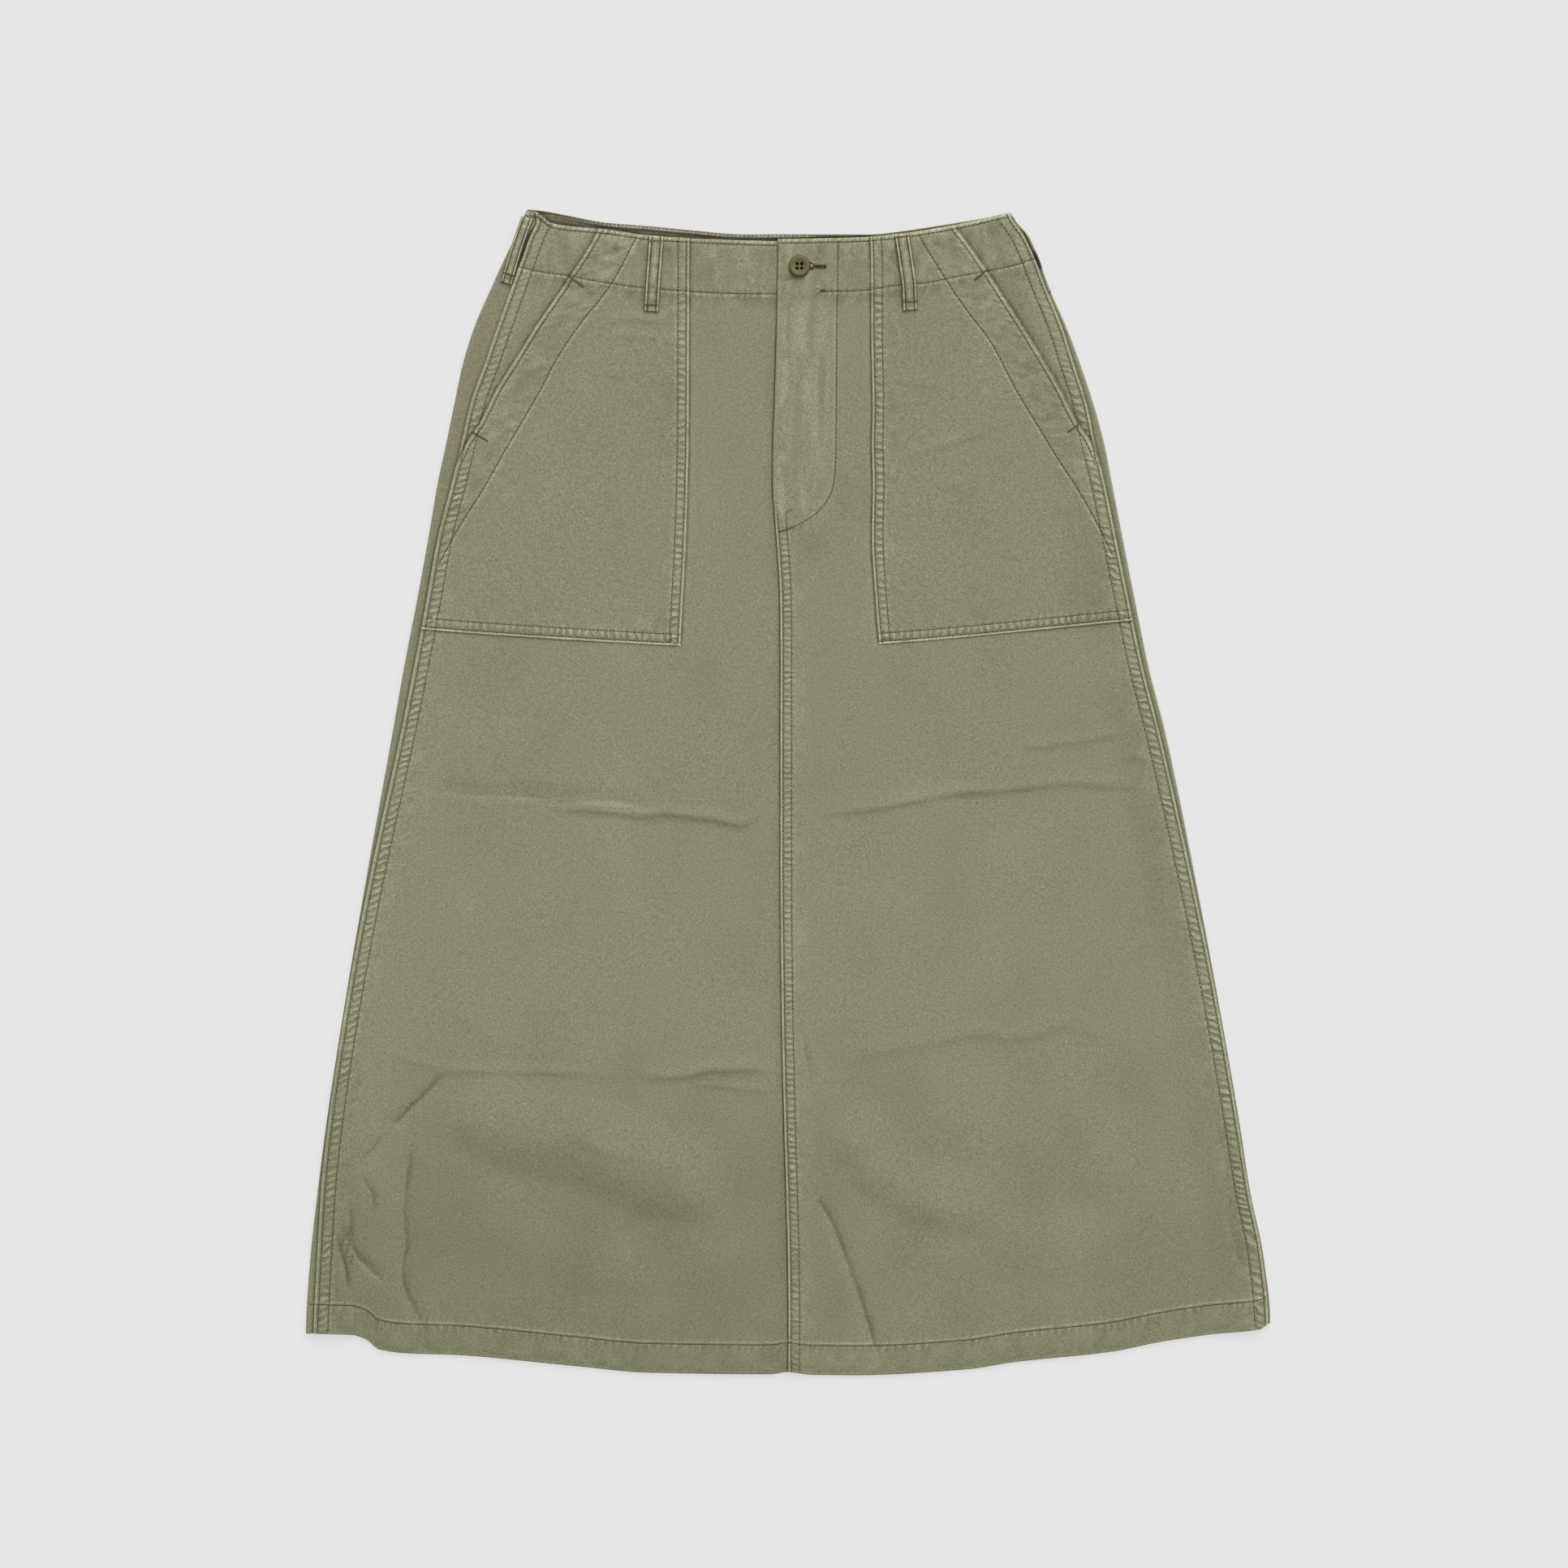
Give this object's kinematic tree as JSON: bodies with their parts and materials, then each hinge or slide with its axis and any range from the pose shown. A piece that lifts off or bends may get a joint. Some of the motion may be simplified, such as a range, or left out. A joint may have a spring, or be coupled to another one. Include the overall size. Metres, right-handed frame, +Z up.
{
  "type": "cargo utility skirt",
  "caption": "Washed cotton A-line long utility skirt with slanted patch pockets, belt loops and a hidden fly, laid flat with its front up.",
  "frame": {"origin": "on the surface the skirt lies on, under the middle of its outline", "axes": "+Z up from the surface through the front, +Y from the hem to the waist, +X towards the wearer's left side"},
  "size_m": [0.7371, 0.8916, 0.0087],
  "materials": {
    "olive_cloth": "washed cotton sateen, matt, with worn seams",
    "facing_cloth": "inside of the washed cotton",
    "loop_cloth": "washed cotton, folded and worn at the edges",
    "button_urea": "semi-matt olive brown, turned",
    "sewing_thread": "matt olive brown cotton thread"
  },
  "bodies": {
    "root": {"front_right": "olive_cloth", "front_left": "olive_cloth", "back": "olive_cloth", "waist_facing_back": "facing_cloth", "pocket_right": "olive_cloth", "pocket_left": "olive_cloth", "loop_front_right": "loop_cloth", "loop_front_left": "loop_cloth", "loop_side_right": "loop_cloth", "loop_side_left": "loop_cloth", "button": "button_urea"}
  },
  "joints": []
}
